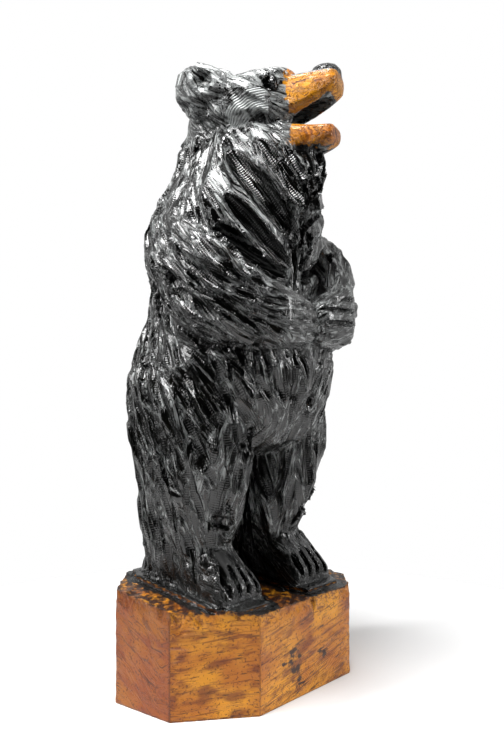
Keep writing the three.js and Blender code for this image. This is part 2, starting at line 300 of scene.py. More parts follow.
# The head's lowest point, where the face starts, and the lowest and innermost point of the ears.
HEAD_FLOOR = -75
FACE_START = -35
EAR_FLOOR = 5
EAR_SIDE = 38

points = points_of(mesh)
height = above_base(points)
head = in_head(points)
on_ear = (head[:, 2] > EAR_FLOOR) & (np.abs(head[:, 0]) > EAR_SIDE)
crisp = (head[:, 2] > HEAD_FLOOR) & ((head[:, 1] < FACE_START) | on_ear)
carved = bear.vertex_groups.new(name="carved")
for step in range(1, STEPS + 1):
    share = step / STEPS
    band = (height > STEP_HEIGHT * step) & ((height <= STEP_HEIGHT * (step + 1)) | (step == STEPS))
    carved.add(np.flatnonzero(band & ~crisp).tolist(), share, "REPLACE")
    carved.add(np.flatnonzero(band & crisp).tolist(), share * CRISP_SHARE, "REPLACE")
ease = bear.modifiers.new("ease", "SMOOTH")
ease.factor = EASING
ease.iterations = EASING_ROUNDS
ease.vertex_group = "carved"
mesh = settle(bear)
print("vertices that stay crisp:", int(crisp.sum()))

# %% [markdown]
# ## Where the strokes run
#
# A carver lays the fur in strokes: the nose of the bar sinks in, runs along the hair and lifts out, and
# leaves a shallow trough with a sharp ridge where it meets the next one. The strokes follow the body, down
# the back, forward over the upper arm, along the forearm and down the legs. The table gives a stroke at chosen
# places, and every other stroke takes a mean of the nearest ones. A row is a place, a direction, and the
# stroke's half width, half length and depth. The rows of the flanks serve both sides.

# %% The lay of the fur
FLANKS = [
    ((40, 100, 770), (0.05, 0.15, -1), (7, 50, 4)),
    ((30, 85, 840), (0.0, 0.3, -1), (6, 30, 2.5)),
    ((95, 30, 760), (0.12, -0.05, -1), (6, 46, 3.5)),
    ((110, 50, 690), (0.12, -0.1, -1), (7, 46, 4)),
    ((125, -10, 690), (0.1, -0.35, -0.9), (6, 36, 3)),
    ((88, -90, 740), (-0.3, -0.5, -0.9), (13, 40, 0.5)),
    ((70, -120, 690), (-0.5, -0.35, -0.8), (11, 40, 0.5)),
    ((95, -100, 660), (-0.5, -0.45, -0.75), (10, 36, 0.6)),
    ((70, -112, 610), (-0.6, -0.3, -0.7), (10, 36, 0.6)),
    ((160, 20, 640), (0.05, -0.55, -0.85), (7, 46, 4)),
    ((165, -10, 600), (0, -0.62, -0.78), (7, 52, 4.5)),
    ((160, -30, 560), (-0.05, -0.72, -0.7), (7, 50, 4.5)),
    ((140, 60, 600), (0, -0.35, -0.95), (7, 46, 4)),
    ((150, -90, 550), (-0.35, -0.75, -0.55), (7, 46, 4)),
    ((128, -88, 610), (-0.25, -0.65, -0.7), (7, 40, 4)),
    ((115, -130, 525), (-0.8, -0.4, -0.4), (6, 42, 3.5)),
    ((70, -150, 522), (-0.95, -0.15, -0.18), (6, 34, 2.6)),
    ((135, -60, 500), (-0.25, -0.85, -0.45), (6, 44, 3.5)),
    ((20, -155, 515), (-1, 0, -0.05), (5, 22, 1.2)),
    ((30, 120, 650), (0, 0, -1), (8, 56, 5)),
    ((80, 105, 610), (0.03, 0, -1), (8, 56, 5)),
    ((50, 118, 540), (0, 0.05, -1), (8, 54, 4.5)),
    ((130, 30, 510), (0, -0.3, -0.95), (7, 46, 4)),
    ((90, -95, 470), (-0.2, -0.15, -0.95), (7, 42, 3.5)),
    ((45, -128, 430), (-0.4, 0, -0.9), (9, 40, 3.5)),
    ((0, -132, 420), (0, 0, -1), (8, 40, 3.5)),
    ((152, 60, 440), (0, -0.35, -0.95), (7, 48, 4.5)),
    ((150, -40, 440), (-0.15, -0.4, -0.9), (7, 46, 4.5)),
    ((162, 10, 380), (0, -0.36, -0.93), (8, 56, 5)),
    ((120, -80, 380), (-0.3, -0.15, -0.93), (10, 50, 4)),
    ((85, -95, 340), (-0.1, 0.05, -1), (12, 44, 4)),
    ((40, -60, 350), (0.1, -0.1, -1), (7, 40, 3)),
    ((95, 115, 380), (0, 0, -1), (8, 56, 5)),
    ((30, 125, 430), (-0.05, 0, -1), (8, 52, 4.5)),
    ((90, -80, 300), (0.15, 0.15, -1), (11, 36, 4)),
    ((140, 10, 290), (0, -0.16, -1), (6, 58, 4)),
    ((120, 15, 220), (0, -0.12, -1), (6, 54, 3.2)),
    ((80, -55, 240), (0, 0.1, -1), (8, 34, 2.6)),
    ((85, 100, 250), (0, 0, -1), (7, 56, 4.2)),
    ((80, -50, 192), (0, -0.85, -0.5), (7, 30, 1.6)),
    ((118, -40, 168), (0, -0.9, -0.4), (6, 30, 1.6)),
    ((80, 100, 170), (0, 0, -1), (6, 32, 2)),
    ((0, 70, 250), (0, 0, -1), (7, 46, 3.2)),
]
# The head is turned, so its strokes are given one by one.
HEAD_STROKES = [
    ((10, 20, 872), (0.3, -0.95, 0.05), (5, 24, 1.4)),
    ((-50, -10, 850), (0.3, -0.9, -0.3), (5, 26, 1.6)),
    ((90, -50, 850), (0.3, -0.9, -0.3), (5, 26, 1.6)),
    ((-60, 20, 800), (0.3, -0.8, -0.6), (5, 26, 2)),
    ((90, -20, 800), (0.3, -0.8, -0.6), (5, 26, 2)),
    ((-65, 40, 860), (-0.2, 0.2, -1), (5, 22, 1.4)),
    ((60, 65, 860), (0.2, 0.2, -1), (5, 22, 1.4)),
    ((25, -130, 850), (0.31, -0.95, 0.1), (4, 18, 0.5)),
    ((60, -140, 850), (0.31, -0.95, 0.1), (4, 18, 0.5)),
    ((25, -120, 783), (0.31, -0.95, 0), (4, 18, 0.7)),
    ((60, -130, 783), (0.31, -0.95, 0), (4, 18, 0.7)),
    ((30, -130, 750), (0.1, -0.1, -1), (7, 30, 4)),
    ((15, -142, 710), (-0.1, 0, -1), (6, 32, 4.5)),
    ((5, -135, 660), (0.1, 0.1, -1), (6, 32, 4.5)),
    ((0, -120, 610), (0, 0, -1), (6, 30, 3.5)),
]


def unit(vectors):
    """Vectors of length one."""
    return vectors / np.maximum(np.linalg.norm(vectors, axis=-1, keepdims=True), 1e-9)


rows = [[*place, *run, *size] for place, run, size in FLANKS + HEAD_STROKES]
rows += [[-p[0], p[1], p[2], -r[0], r[1], r[2], *size] for p, r, size in FLANKS if p[0] > 0]
# The strokes as shares of those in the table: wider, longer and deeper.
BOLD_HAND = [1.2, 1.5, 1.4]
GUIDES = np.array(rows, float)
GUIDES[:, :3] += HEART
GUIDES[:, 6:] *= BOLD_HAND
GUIDES[:, 3:6] = unit(GUIDES[:, 3:6])
print("strokes in the table:", len(GUIDES))

# %% The stroke at any place
# How many points are handled at once, how near a row of the table has to be to rule alone, and how fast its
# say falls off with distance.
CHUNK = 8000
REACH = 15
FALL_OFF = 2.5


def lay_of_fur(points, normals):
    """The direction along the skin and the size of the stroke at each point."""
    runs, sizes = [], []
    for first in range(0, len(points), CHUNK):
        here, out = points[first : first + CHUNK], normals[first : first + CHUNK]
        away = ((here[:, None, :] - GUIDES[None, :, :3]) ** 2).sum(axis=2)
        weight = 1 / (away + REACH**2) ** FALL_OFF
        weight /= weight.sum(axis=1, keepdims=True)
        run = weight @ GUIDES[:, 3:6]
        run -= out * (run * out).sum(axis=1, keepdims=True)
        runs.append(unit(run))
        sizes.append(weight @ GUIDES[:, 6:])
    return np.concatenate(runs), np.concatenate(sizes)


sample_run, sample_size = lay_of_fur(HEART + [[0, -132, 420]], np.array([[0.0, -1.0, 0.0]]))
print("a stroke on the belly, mm:", sample_size[0].round(1), "and it runs", sample_run[0].round(2))

# %% [markdown]
# ## Cutting the strokes
#
# A stroke is a place on the skin, a direction, a half width, a half length and a depth. Its trough is a
# parabola across, fades out at both ends and bends a little. Where two troughs overlap the deeper one wins,
# so the line between them is left standing as a sharp ridge, as it is in the wood. The skin is pushed in along
# its own normals by that depth. Modelling each trough as a cutter and subtracting it would give the same
# shape, but a thousand exact cuts take far too long.

# %% Choosing where the strokes go
# How unsteady the carver's hand is: the turn of a stroke in radians, its bend per millimetre, and how much
# shorter or longer than planned it can be.
HAND_WOBBLE = 0.15
HAND_BEND = 0.0014
HAND_SPREAD = (0.65, 1.4)
# Strokes further than this many half widths behind each other lie on different sides of a limb.
LIMB_DEPTH = 3


def scatter(points, normals, lay, count, apart, seed):
    """Random places for strokes, none nearer to another than these shares of its half width and length."""
    chance = np.random.default_rng(seed)
    tried = chance.choice(len(points), size=min(count, len(points)), replace=False)
    places, outs = points[tried], normals[tried]
    run, size = lay(places, outs)
    across = np.cross(outs, run)
    taken = np.empty((len(tried), 3))
    kept = []
    for i in np.flatnonzero(size[:, 2] > 0):
        to_others = taken[: len(kept)] - places[i]
        beside = (to_others @ across[i]) / (size[i, 0] * apart[0])
        along = (to_others @ run[i]) / (size[i, 1] * apart[1])
        deep = (to_others @ outs[i]) / (LIMB_DEPTH * size[i, 0])
        if np.all(along**2 + beside**2 + deep**2 >= 1):
            taken[len(kept)] = places[i]
            kept.append(i)
    turn = chance.normal(0, HAND_WOBBLE, len(kept))[:, None]
    heading = run[kept] * np.cos(turn) + across[kept] * np.sin(turn)
    sides = np.cross(outs[kept], heading)
    grown = size[kept] * chance.uniform(*HAND_SPREAD, (len(kept), 3))
    bend = chance.normal(0, HAND_BEND, len(kept))
    number = chance.random(len(kept))
    return list(zip(places[kept], heading, sides, outs[kept], grown, bend, number))


# %% Cutting the troughs
# How square a trough's ends are, the cosine at which the skin turns away from the saw, and how far above or
# below the middle of the stroke the saw still cuts: in half widths, and in millimetres on top of that.
END_POWER = 3
TURNED_AWAY = 0.35
BITE_WIDTHS = 1.5
BITE_MORE = 6
# The bend of a stroke can carry its end a little past its half length.
BEND_ROOM = 1.1


def troughs(points, normals, strokes):
    """The depth of the deepest trough at each point, by how much it beats the next one, and where the point
    lies in that stroke: across it, along it, and the stroke's own number between 0 and 1."""
    depth = np.zeros(len(points))
    second = np.zeros(len(points))
    run = np.zeros((len(points), 3))
    order = np.argsort(points[:, 2])
    levels = points[order, 2]
    for place, heading, side, out, (half_width, half_length, deepest), bend, number in strokes:
        first, last = np.searchsorted(levels, [place[2] - half_length, place[2] + half_length])
        near = order[first:last]
        offset = points[near] - place
        close = (offset**2).sum(axis=1) < (BEND_ROOM * half_length) ** 2
        near, offset = near[close], offset[close]
        along = offset @ heading
        across = offset @ side - bend * along**2
        level = offset @ out
        trough = 1 - (across / half_width) ** 2 - np.abs(along / half_length) ** END_POWER
        facing = normals[near] @ out
        in_bite = np.abs(level) < BITE_WIDTHS * half_width + BITE_MORE
        inside = (trough > 0) & in_bite & (facing > TURNED_AWAY)
        near = near[inside]
        cut = deepest * trough[inside]
        better = cut > depth[near]
        second[near] = np.where(better, depth[near], np.maximum(second[near], cut))
        won = near[better]
        depth[won] = cut[better]
        numbers = np.full(len(won), number)
        run[won] = np.column_stack([across[inside][better], along[inside][better], numbers])
    return depth, depth - second, run


# %% [markdown]
# ## Single cuts
#
# Beside the throat and above the forearms long passes of the bar cleared smooth hollows, with a sharp edge
# left standing between two of them. Single cuts part the fingers and the toes. There are only a few of these,
# so they are given one by one.

# %% The passes of the chest, the fingers and the toes
# A row is a place on the bear's left side, a direction, and the half width, half length and depth of the cut.
PASSES = [
    ((52, -92, 692), (-64, -63, -115), (19, 80, 9)),
    ((43, -112, 723), (-41, -48, -86), (16, 58, 8)),
    ((19, -118, 737), (-18, -21, -41), (10, 30, 6)),
    ((65, -96, 639), (-89, -35, -89), (13, 70, 8)),
    ((67, -82, 605), (-99, -35, -51), (13, 62, 9)),
]
# The left paw lies with its fingers along the belly; those of the right paw show at its end only.
FINGER = 18
FINGER_CUTS = [((48, -152, 519 + FINGER * i), (1, -0.12, 0), (4, 40, 9)) for i in range(3)]
FINGER_END = 16
FINGER_ENDS = [((16, -154, 503 + FINGER_END * i), (1, -0.12, 0), (4, 12, 5)) for i in range(3)]
TOE = 17.5
BETWEEN_TOES = (-1.5, -0.5, 0.5, 1.5)
TOE_CUTS = [((79 + TOE * i, -74, 172), (0.08 * i, -0.8, -0.6), (4, 26, 8)) for i in BETWEEN_TOES]
# The way that the skin faces where the cuts go in.
CHEST_WAY = (0.77, -0.64, 0.1)
PAW_WAY = (0.1, -1, 0)
FOOT_WAY = (0, -0.6, 0.8)
CUT_NUMBER = 0.3
STRAIGHT = 0.0


def given_cuts(table, way, sides=(-1, 1)):
    """The cuts of a table on one or both sides of the bear, in the form that troughs takes."""
    cuts = []
    for mirror in sides:
        for place, run, size in table:
            heading = unit(np.array(run, float) * [mirror, 1, 1])
            out = np.array(way, float) * [mirror, 1, 1]
            out = unit(out - heading * (out @ heading))
            middle = np.array(place, float) * [mirror, 1, 1] + HEART
            cuts.append((middle, heading, np.cross(out, heading), out, size, STRAIGHT, CUT_NUMBER))
    return cuts


passes = given_cuts(PASSES, CHEST_WAY)
partings = given_cuts(FINGER_CUTS, PAW_WAY, [1]) + given_cuts(FINGER_ENDS, PAW_WAY, [-1])
partings += given_cuts(TOE_CUTS, FOOT_WAY)
print("passes:", len(passes), " cuts between fingers and toes:", len(partings))

# %% [markdown]
# ## Where the coat is thin
#
# The hollows of the chest are left clean, and the paws, the feet and the snout get only a quarter of the
# fur's depth, or their own small forms would drown in it. The share fades in over some millimetres, because a
# hard border would show as a step.

# %% The share of the fur's depth that each place gets
LOST_DEPTH = 0.75
PAW_FADE = 16
SNOUT_FADE = 12
# The height over the top of the base at which the bear begins.
COAT_FLOOR = 3
# Where the paws lie, from the heart of the log: how far out they reach, how far forward they start, and the
# lowest and highest point.
HANDS_OUT, HANDS_FORWARD, HANDS_LOW, HANDS_HIGH = 92, 138, 486, 572
FEET_HIGH, FEET_FORWARD, FEET_IN = 52, 56, 32
SNOUT_FORWARD, SNOUT_LOW = 62, -72
FULL_SHARE = 0.99

points, normals = points_of(mesh), normals_of(mesh)
coat = above_base(points) > COAT_FLOOR
cleared, _, _ = troughs(points, normals, passes)
x, y, z = np.abs(points - HEART).T
hands = np.minimum.reduce([HANDS_OUT - x, y - HANDS_FORWARD, z - HANDS_LOW, HANDS_HIGH - z])
toes = np.minimum.reduce([FEET_HIGH - above_base(points), y - FEET_FORWARD, x - FEET_IN, -points[:, 1]])
paws = np.clip(0.5 + np.maximum(hands, toes) / PAW_FADE, 0, 1)
head = in_head(points)
snout = np.clip(np.minimum(-head[:, 1] - SNOUT_FORWARD, head[:, 2] - SNOUT_LOW) / SNOUT_FADE, 0, 1)
kept = (1 - LOST_DEPTH * np.maximum(paws, snout)) * (1 - np.clip(cleared, 0, 1))
print("share of the skin with its full coat:", round(float((kept > FULL_SHARE).mean()), 2))

# %% [markdown]
# ## Big cuts first, then the fur
#
# The carver works from coarse to fine, and so does this. Wide, deep strokes set apart on the body leave its
# broad planes, narrower ones then cover the whole coat, and the single cuts come last. The skin is first
# swollen by about the mean depth, so that the finished bear keeps the size of its solid.

# %% Cutting the coat
BROAD_WIDTH = 1.7
BROAD_DEPTH = 0.9
BROAD_TRIES = 4000
BROAD_APART = (1.2, 0.9)
FUR_TRIES = 30000
FUR_APART = (1.35, 0.8)
SWELL = 3.2
# The depth of stroke from which the skin is swollen in full, and the height over the base where it is.
FULL_SWELL_DEPTH = 4
FULL_SWELL_HEIGHT = 12
# The height over the base at which the fur begins, and the band over which it fades in.
FUR_START = 4
FUR_FADE = 10


def broad_lay(at, out):
    """Broad strokes: wider than the fur, and a little shallower."""
    run, size = lay_of_fur(at, out)
    return run, size * [BROAD_WIDTH, 1.0, BROAD_DEPTH]


def push_in(points, normals, depth):
    """Pushes the skin in by a depth at each point, and gives its points and new normals."""
    pushed = points - normals * depth[:, None]
    move_points(mesh, pushed)
    return pushed, normals_of(mesh)


mean_depth = np.clip(lay_of_fur(points, normals)[1][:, 2] / FULL_SWELL_DEPTH, 0, 1)
swell = mean_depth * SWELL * np.clip(above_base(points) / FULL_SWELL_HEIGHT, 0, 1)
points[coat] += normals[coat] * swell[coat, None]
fade = np.clip((above_base(points) - FUR_START) / FUR_FADE, 0, 1) * kept
broad = scatter(points[coat], normals[coat], broad_lay, BROAD_TRIES, BROAD_APART, seed=5)
points, normals = push_in(points, normals, troughs(points, normals, broad)[0] * fade)
fur = scatter(points[coat], normals[coat], lay_of_fur, FUR_TRIES, FUR_APART, seed=8)
points, normals = push_in(points, normals, troughs(points, normals, fur)[0] * fade)
points, normals = push_in(points, normals, troughs(points, normals, passes + partings)[0])
print("broad strokes:", len(broad), " fur strokes:", len(fur))

# %% [markdown]
# ## The sides of the base
#
# The base was squared with long passes of the bar, which came through each side at its own slope and left
# shallow waves. Its upper edge is rougher, because the saw nosed down to it again and again. The same strokes
# serve, shallow and long on the sides, short and deeper on the rim.

# %% How the saw went over the base
# The way that each side faces, and how steeply the marks on it rise to the right, in degrees.
SAW_SLOPES = [
    ((-1, 0), -36),
    ((-0.64, -0.77), 7),
    ((0, -1), 12),
    ((0.7, -0.7), -15),
    ((1, 0), 8),
    ((0, 1), -8),
]
TOP_SAW_RUN = [0.85, 0.53, 0.0]
# The half width, half length and depth of a cut.
SIDE_WAVE = (11, 46, 0.9)
RIM_CHIP = (6, 15, 2.4)
TOP_CUT = (9, 34, 1.6)
RIM_WIDTH = 10
RIM_DIP = [0, 0, -1.2]
# Skin that faces up more than this belongs to the top; skin that faces down, or lies this low, is not cut.
FACES_UP = 0.6
FACES_DOWN = -0.5
UNCUT_HEIGHT = 6


def saw_slope(out):
    """How steeply the saw marks rise on the side of the base that faces this way."""
    ways = np.array([way for way, _ in SAW_SLOPES], float)
    rises = np.array([rise for _, rise in SAW_SLOPES], float)
    return rises[np.argmax(out[:, :2] @ ways.T, axis=1)]


def lay_of_base(at, out):
    """Strokes on the base: waves on its sides, chips at its rim, short cuts on its top."""
    flat = unit(out * [1, 1, 0])
    rise = np.radians(saw_slope(out))[:, None]
    run = np.cross([0, 0, 1], flat) * np.cos(rise) + [0, 0, 1] * np.sin(rise)
    size = np.tile(SIDE_WAVE, (len(at), 1)).astype(float)
    rim = above_base(at) > -RIM_WIDTH
    size[rim] = RIM_CHIP
    run[rim] = unit(run[rim] + RIM_DIP)
    top = out[:, 2] > FACES_UP
    run[top], size[top] = TOP_SAW_RUN, TOP_CUT
    size[(out[:, 2] < FACES_DOWN) | (at[:, 2] < UNCUT_HEIGHT)] = 0
    return run, size


print("sides with marks of their own:", len(SAW_SLOPES))

# %% Sawing the base
BASE_TRIES = 9000
BASE_APART = (0.9, 0.7)
# The underside stays flat to stand on and the cuts fade in above it; they fade out where the bear begins.
FOOT_RIM, FOOT_FADE = 2, 6
BEAR_START, BEAR_FADE = 4, 2

points, normals = points_of(mesh), normals_of(mesh)
lift = above_base(points)
foot_of_log = lift <= COAT_FLOOR
foot_points, foot_normals = points[foot_of_log], normals[foot_of_log]
base_strokes = scatter(foot_points, foot_normals, lay_of_base, BASE_TRIES, BASE_APART, seed=3)
depth, _, _ = troughs(points, normals, base_strokes)
cut_share = np.clip((points[:, 2] - FOOT_RIM) / FOOT_FADE, 0, 1)
cut_share *= np.clip((BEAR_START - lift) / BEAR_FADE, 0, 1)
points, normals = push_in(points, normals, depth * cut_share)
print("strokes on the base:", len(base_strokes))

# %% [markdown]
# ## Fewer triangles
#
# The even skin is finer than it needs to be on flat places. Decimating it by collapse keeps the ridges, where
# the surface turns, and thins out the planes.

# %% Thinning the skin
TRIANGLE_LIMIT = 196000
SHARP_ANGLE = 40

triangles = sum(len(p.vertices) - 2 for p in mesh.polygons)
thin = bear.modifiers.new("thin", "DECIMATE")
thin.ratio = min(1.0, TRIANGLE_LIMIT / triangles)
mesh = settle(bear)
mesh.shade_smooth()
mesh.set_sharp_from_angle(angle=math.radians(SHARP_ANGLE))
print("triangles:", triangles, "->", sum(len(p.vertices) - 2 for p in mesh.polygons))

# %% [markdown]
# ## Where the paint ends
#
# The finishes follow the strokes and the parts of the body, so they are worked out at the vertices and kept
# as attributes. The muzzle and the lower jaw are bare of paint, the nose and the inside of the mouth are
# black again, and on top of the base the brush smeared a finger's width past the feet. An edge of paint is
# kept as a slope some millimetres wide, so that the brush's own unevenness can move it to and fro.

# %% How bare of paint each vertex is
PAINT_EDGE = 12
SMEAR_WIDTH = 16
# The middle of the nose ahead of the neck and above it, and its half width, half length and half height.
NOSE_FORWARD, NOSE_UP = 121, 46
NOSE_HALF = (25, 27, 17)
NOSE_SIZE = 24
# Skin that faces up more than the brow does is painted, also on the muzzle.
BROW_FACING = 0.85
BROW_BLEND = 0.2
# Where the bare face starts ahead of the neck, how much that edge leans back from a height, and its lowest
# and highest point.
FACE_FRONT, FACE_LEAN, LEAN_FROM, FACE_LOW, FACE_HIGH = 75, 0.12, -20, -62, 62
# The half width of the mouth, its front, its lowest and highest point, and how crisp its edge is.
MOUTH_HALF, MOUTH_FRONT, MOUTH_LOW, MOUTH_HIGH, MOUTH_CRISP = 21, 130, -52, 25, 2
# The band above the base in which the feet are looked for.
FEET_FROM, FEET_TO = 4, 10

points, normals = points_of(mesh), normals_of(mesh)
lift = above_base(points)
sawn = lift <= COAT_FLOOR
top = sawn & (normals[:, 2] > FACES_UP)
head = in_head(points)
side, forward, up = np.abs(head[:, 0]), -head[:, 1], head[:, 2]


def slope(distance):
    """0 well outside, 1 well inside, one half at the edge."""
    return np.clip(0.5 + distance / PAINT_EDGE, 0, 1)


ahead = forward - FACE_FRONT + FACE_LEAN * (up - LEAN_FROM)
face = slope(np.minimum.reduce([ahead, up - FACE_LOW, FACE_HIGH - up]))
face *= np.where(up > 0, np.clip((BROW_FACING - normals[:, 2]) / BROW_BLEND, 0, 1), 1)
from_nose = np.column_stack([side, forward - NOSE_FORWARD, up - NOSE_UP]) / NOSE_HALF
nose = slope(NOSE_SIZE * (1 - np.linalg.norm(from_nose, axis=1)))
in_mouth = np.minimum.reduce([MOUTH_HALF - side, MOUTH_FRONT - forward, up - MOUTH_LOW, MOUTH_HIGH - up])
mouth = slope(in_mouth * MOUTH_CRISP)
bare = np.where(sawn, 1, np.clip(face - nose - mouth, 0, 1))

feet = np.flatnonzero((lift > FEET_FROM) & (lift < FEET_TO))
tree_of_feet = KDTree(len(feet))
for i in feet:
    tree_of_feet.insert(points[i], int(i))
tree_of_feet.balance()
for i in np.flatnonzero(top):
    bare[i] = slope(tree_of_feet.find(points[i])[2] - SMEAR_WIDTH)
print("share of the skin that is bare wood:", round(float(bare.mean()), 2))

# %% [markdown]
# ## Which way the marks run
#
# Fibres, brush marks and the marks of the chain all follow the saw. So each vertex is told where it lies in
# its stroke: across it, along it, and the number of the stroke, which shifts the pattern from one stroke to
# the next. On the base the saw ran along each side, in the hollows it ran along the pass, and on the cheeks
# the nose of the bar was swung round a point below the jaw.

# %% The place of each vertex in its stroke
# Numbers of fur strokes start here; the wood is drawn darker and redder where the number is lower, on the
# base's right side.
LOWEST_NUMBER = 0.45
BASE_NUMBER = 0.5
BASE_NUMBER_TURN = 0.1
# How deep a pass has to be to count as a hollow, and the rim that is left beside it.
HOLLOW_DEPTH = 0.4
RIM_REACH = 3
RIM_DEPTH = 0.3
# The point that the bar was swung round, ahead of the neck and above it, the mean angle of the swing, and how
# wide one radian of it counts.
SWING = (70, -75)
MEAN_SWING = 2.2
SWING_WIDTH = 8
# The cheeks: from the back to the front, from the lowest to the highest point, and how far out they start.
CHEEK_BACK, CHEEK_FRONT, CHEEK_LOW, CHEEK_HIGH, CHEEK_OUT = -8, 52, -46, 16, 45
# How strongly the arcs of the chain show.
ARCS_ON_BASE, ARCS_IN_FUR, ARCS_IN_HOLLOWS, ARCS_ON_CHEEKS = 0.3, 0.22, 0.5, 1.0

depth, lead, run = troughs(points, normals, fur)
run[:, 2] = LOWEST_NUMBER + (1 - LOWEST_NUMBER) * run[:, 2]

out = unit(normals * [1, 1, 0])
steepness = np.radians(saw_slope(normals))
heading = np.cross([0, 0, 1], out) * np.cos(steepness)[:, None] + [0, 0, 1] * np.sin(steepness)[:, None]
heading[top] = TOP_SAW_RUN
beside = np.cross(np.where(top[:, None], [0, 0, 1], out), heading)
along, across = (points * heading).sum(axis=1), (points * beside).sum(axis=1)
run[sawn] = np.column_stack([across, along, BASE_NUMBER + BASE_NUMBER_TURN * out[:, 0]])[sawn]
arcs = np.where(sawn, ARCS_ON_BASE, ARCS_IN_FUR)

cleared, _, pass_run = troughs(points, normals, passes)
hollow = cleared > HOLLOW_DEPTH
run[hollow] = pass_run[hollow]
arcs[hollow] = ARCS_IN_HOLLOWS
wider = []
for *where, (half_width, half_length, deepest), bend, number in passes:
    wider.append((*where, (half_width + RIM_REACH, half_length + RIM_REACH, deepest), bend, number))
rim = (troughs(points, normals, wider)[0] > RIM_DEPTH) & ~hollow

cheek = (forward > CHEEK_BACK) & (forward < CHEEK_FRONT) & (side > CHEEK_OUT)
cheek &= (up > CHEEK_LOW) & (up < CHEEK_HIGH)
swing = np.column_stack([forward - SWING[0], up - SWING[1]])
radius = np.linalg.norm(swing, axis=1)
turned = (np.arctan2(swing[:, 1], swing[:, 0]) - MEAN_SWING) * SWING_WIDTH
run[cheek] = np.column_stack([turned, radius, np.full(len(points), BASE_NUMBER)])[cheek]
arcs[cheek] = ARCS_ON_CHEEKS
print("vertices in the hollows:", int(hollow.sum()), " on the cheeks:", int(cheek.sum()))

# %% [markdown]
# ## Knots, dirt, and grey ridges of worn paint and painted highlight
#
# Three knots show on the front of the base, each a dark pith in a ring of bark. The stain gathered on top of
# the base and under its rim. The black paint is drawn grey along the ridges between strokes, at the rims of
# the passes, on what faces up, and most of all over the head, but not on the nose and round the eyes: partly
# paint worn thin, partly painted highlight, and on what faces up and on the head painted top light.

# %% How dark the stain and how grey the paint is
# The knots on the front of the base: their middles and half sizes.
KNOTS = [((-9, -112, 54), (13, 12, 20)), ((7, -112, 21), (9, 12, 9)), ((61, -112, 48), (9, 12, 14))]
# The radius of a knot's pith and of its bark ring, and the ring's thickness, as shares of the knot.
PITH, BARK, BARK_WIDTH = 0.4, 0.9, 0.16
DARK_PITH, DARK_BARK, DARK_KNOT = 0.45, 0.58, 0.54
RIM_DIRT, RIM_DIRT_FROM, DARK_RIM, DARK_TOP = 9, 2, 0.8, 0.75
RIDGE_WIDTH = 1.2
# How grey ridges are drawn in the fur, on skin that no stroke has cut, and at the rims of the passes, as worn
# paint and painted highlight.
GREY_FUR, GREY_UNCUT, GREY_RIM = 1.0, 0.2, 1.4
UNCUT_DEPTH = 0.3
# How grey the paint is drawn where it faces up, as painted top light, from where on the body that starts, and
# over what height.
TOP_LIGHT_GREY, GREY_START, GREY_FADE = 0.2, 350, 150
FACING_START, FACING_FADE = 0.3, 0.4
# The head is drawn greyer with painted highlight and top light, fading where it faces down under the chin.
HEAD_HEIGHT, HEAD_FADE = 790, 12
CHIN_FACING, CHIN_FADE = -0.7, 0.6
# An eye ahead of the neck and above it, and how far round it the paint stays black.
EYE = (52, 56, 22)
EYE_BLACK, EYE_FADE, EYE_PLAIN = 12, 5, 16
# The feet get less of the painted highlight, so they stay darker: the share of grey that is left there, and
# where it starts to grow upwards.
FEET_GREY, FEET_GREY_START, FEET_GREY_FADE = 0.35, 10, 60
GREY_ENOUGH = 0.5

dirt = np.where(sawn, np.clip(1 + (lift - RIM_DIRT_FROM) / RIM_DIRT, 0, 1) * DARK_RIM, 0)
dirt[top] = DARK_TOP
for place, half in KNOTS:
    ring = np.linalg.norm((points - HEART - place) / half, axis=1)
    pith, bark = np.exp(-((ring / PITH) ** 2)), np.exp(-(((ring - BARK) / BARK_WIDTH) ** 2))
    dirt = np.maximum(dirt, DARK_PITH * pith + DARK_BARK * bark + DARK_KNOT * (ring < BARK))

# Painted highlight, with some worn paint: grey along the ridges between strokes and at the rims of the passes,
# none in the hollows.
ridge = np.exp(-((lead / RIDGE_WIDTH) ** 2)) * np.where(depth > UNCUT_DEPTH, GREY_FUR, GREY_UNCUT)
ridge = np.where(hollow, 0, np.where(rim, GREY_RIM, ridge))
# Less painted highlight low down, towards the feet.
ridge *= np.clip((lift - FEET_GREY_START) / FEET_GREY_FADE, FEET_GREY, 1)
upper = np.clip((points[:, 2] - GREY_START) / GREY_FADE, 0, 1)
# Painted top light: paint that faces up is drawn greyer, and the head more so.
grey = TOP_LIGHT_GREY * upper * np.clip((normals[:, 2] - FACING_START) / FACING_FADE, 0, 1)
on_head = np.clip((points[:, 2] - HEAD_HEIGHT) / HEAD_FADE, 0, 1)
grey += on_head * np.clip((normals[:, 2] - CHIN_FACING) / CHIN_FADE, 0, 1)
from_eye = np.linalg.norm(np.column_stack([side, forward, up]) - EYE, axis=1)
ridge = np.where(sawn, 0, np.clip(ridge + grey, 0, GREY_RIM))
ridge *= (1 - nose) * np.clip((from_eye - EYE_BLACK) / EYE_FADE, 0, 1)
arcs[from_eye < EYE_PLAIN] = 0


def store(name, kind, key, values):
    """Keeps values at the vertices as an attribute."""
    made = mesh.attributes.new(name, kind, "POINT")
    made.data.foreach_set(key, values.astype(np.float32).ravel())


store("saw_run", "FLOAT_VECTOR", "vector", run * [MM, MM, 1])
# Red holds the grey of worn paint and painted highlight.
store("finish_and_highlight", "FLOAT_COLOR", "color", np.column_stack([ridge, 1 - bare, dirt, arcs]))
print("share of the skin that is rubbed grey:", round(float((ridge > GREY_ENOUGH).mean()), 2))

# %% [markdown]
# ## Saw marks and brush marks
#
# Both finishes lie over the same wood, so one function gives the small relief that they share: fibres and
# brush hairs that run along the stroke, the arcs that the chain leaves across it at the pitch of its teeth,
# and a fine roughness. The marks are too small to be cut into a mesh of this size, so they are bump.

